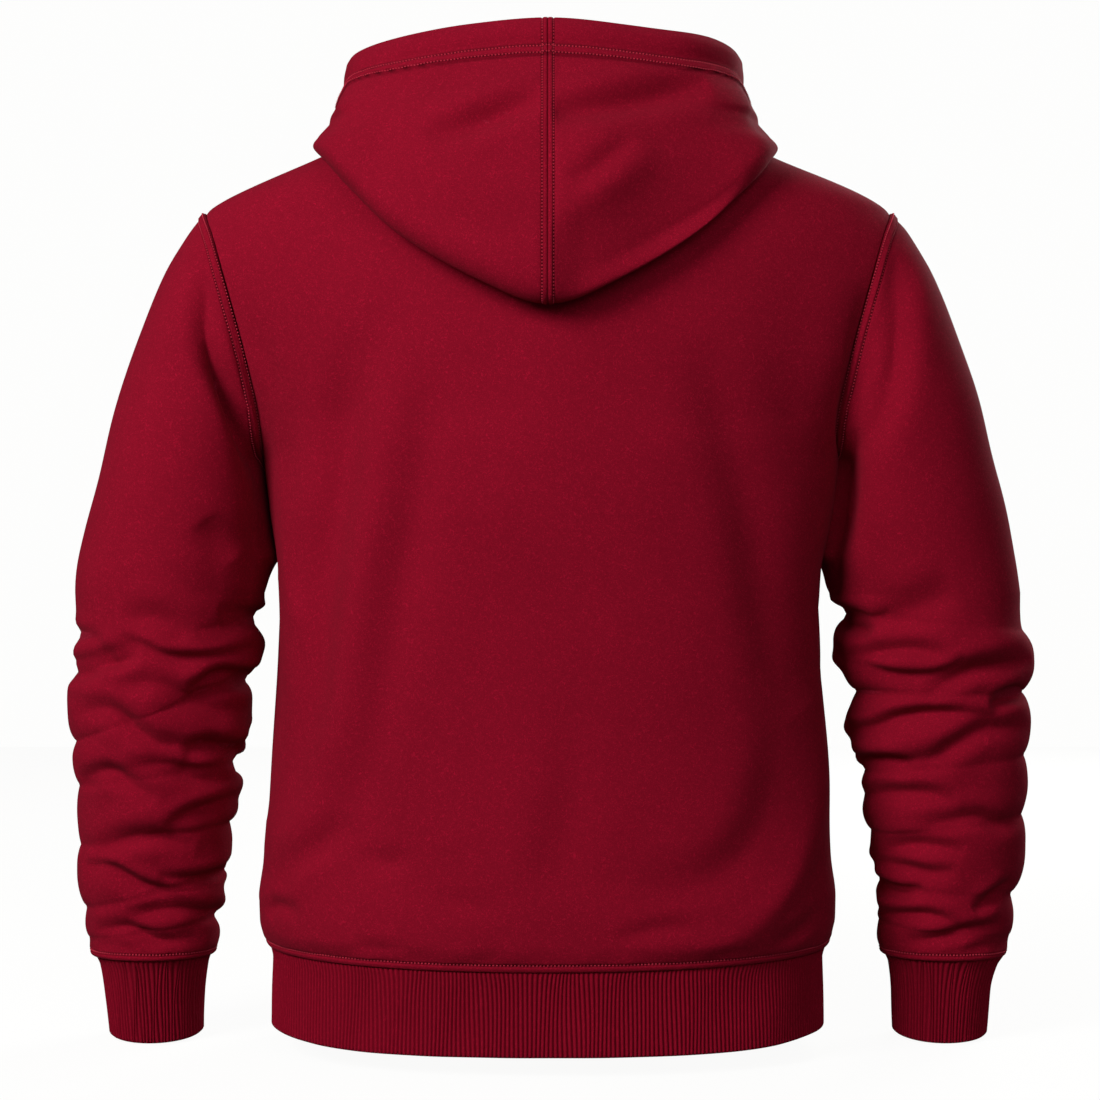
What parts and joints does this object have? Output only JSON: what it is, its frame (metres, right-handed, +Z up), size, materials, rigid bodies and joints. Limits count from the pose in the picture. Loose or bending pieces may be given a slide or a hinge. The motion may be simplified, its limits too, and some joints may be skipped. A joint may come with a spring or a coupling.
{
  "type": "pullover hoodie",
  "caption": "Long-sleeved pullover sweatshirt in brushed fleece with a hood worn down, ribbed cuffs and hem band, filled out as if worn.",
  "frame": {"origin": "midway between the high points of the two shoulders, where the wearer's neck and shoulders hold the garment up", "axes": "+Z up, -Y the front of the garment, +X the wearer's left"},
  "size_m": [0.7755, 0.3221, 0.7947],
  "materials": {
    "fleece": "crimson brushed-back cotton fleece, matte knit face with a soft nap",
    "rib": "crimson cotton rib knit with narrow vertical ribs"
  },
  "bodies": {
    "root": {"back_panel": "fleece", "front_panel": "fleece", "sleeve_left": "fleece", "sleeve_right": "fleece", "hood_left": "fleece", "hood_right": "fleece", "cuff_left": "rib", "cuff_right": "rib", "hem_band": "rib"}
  },
  "joints": []
}
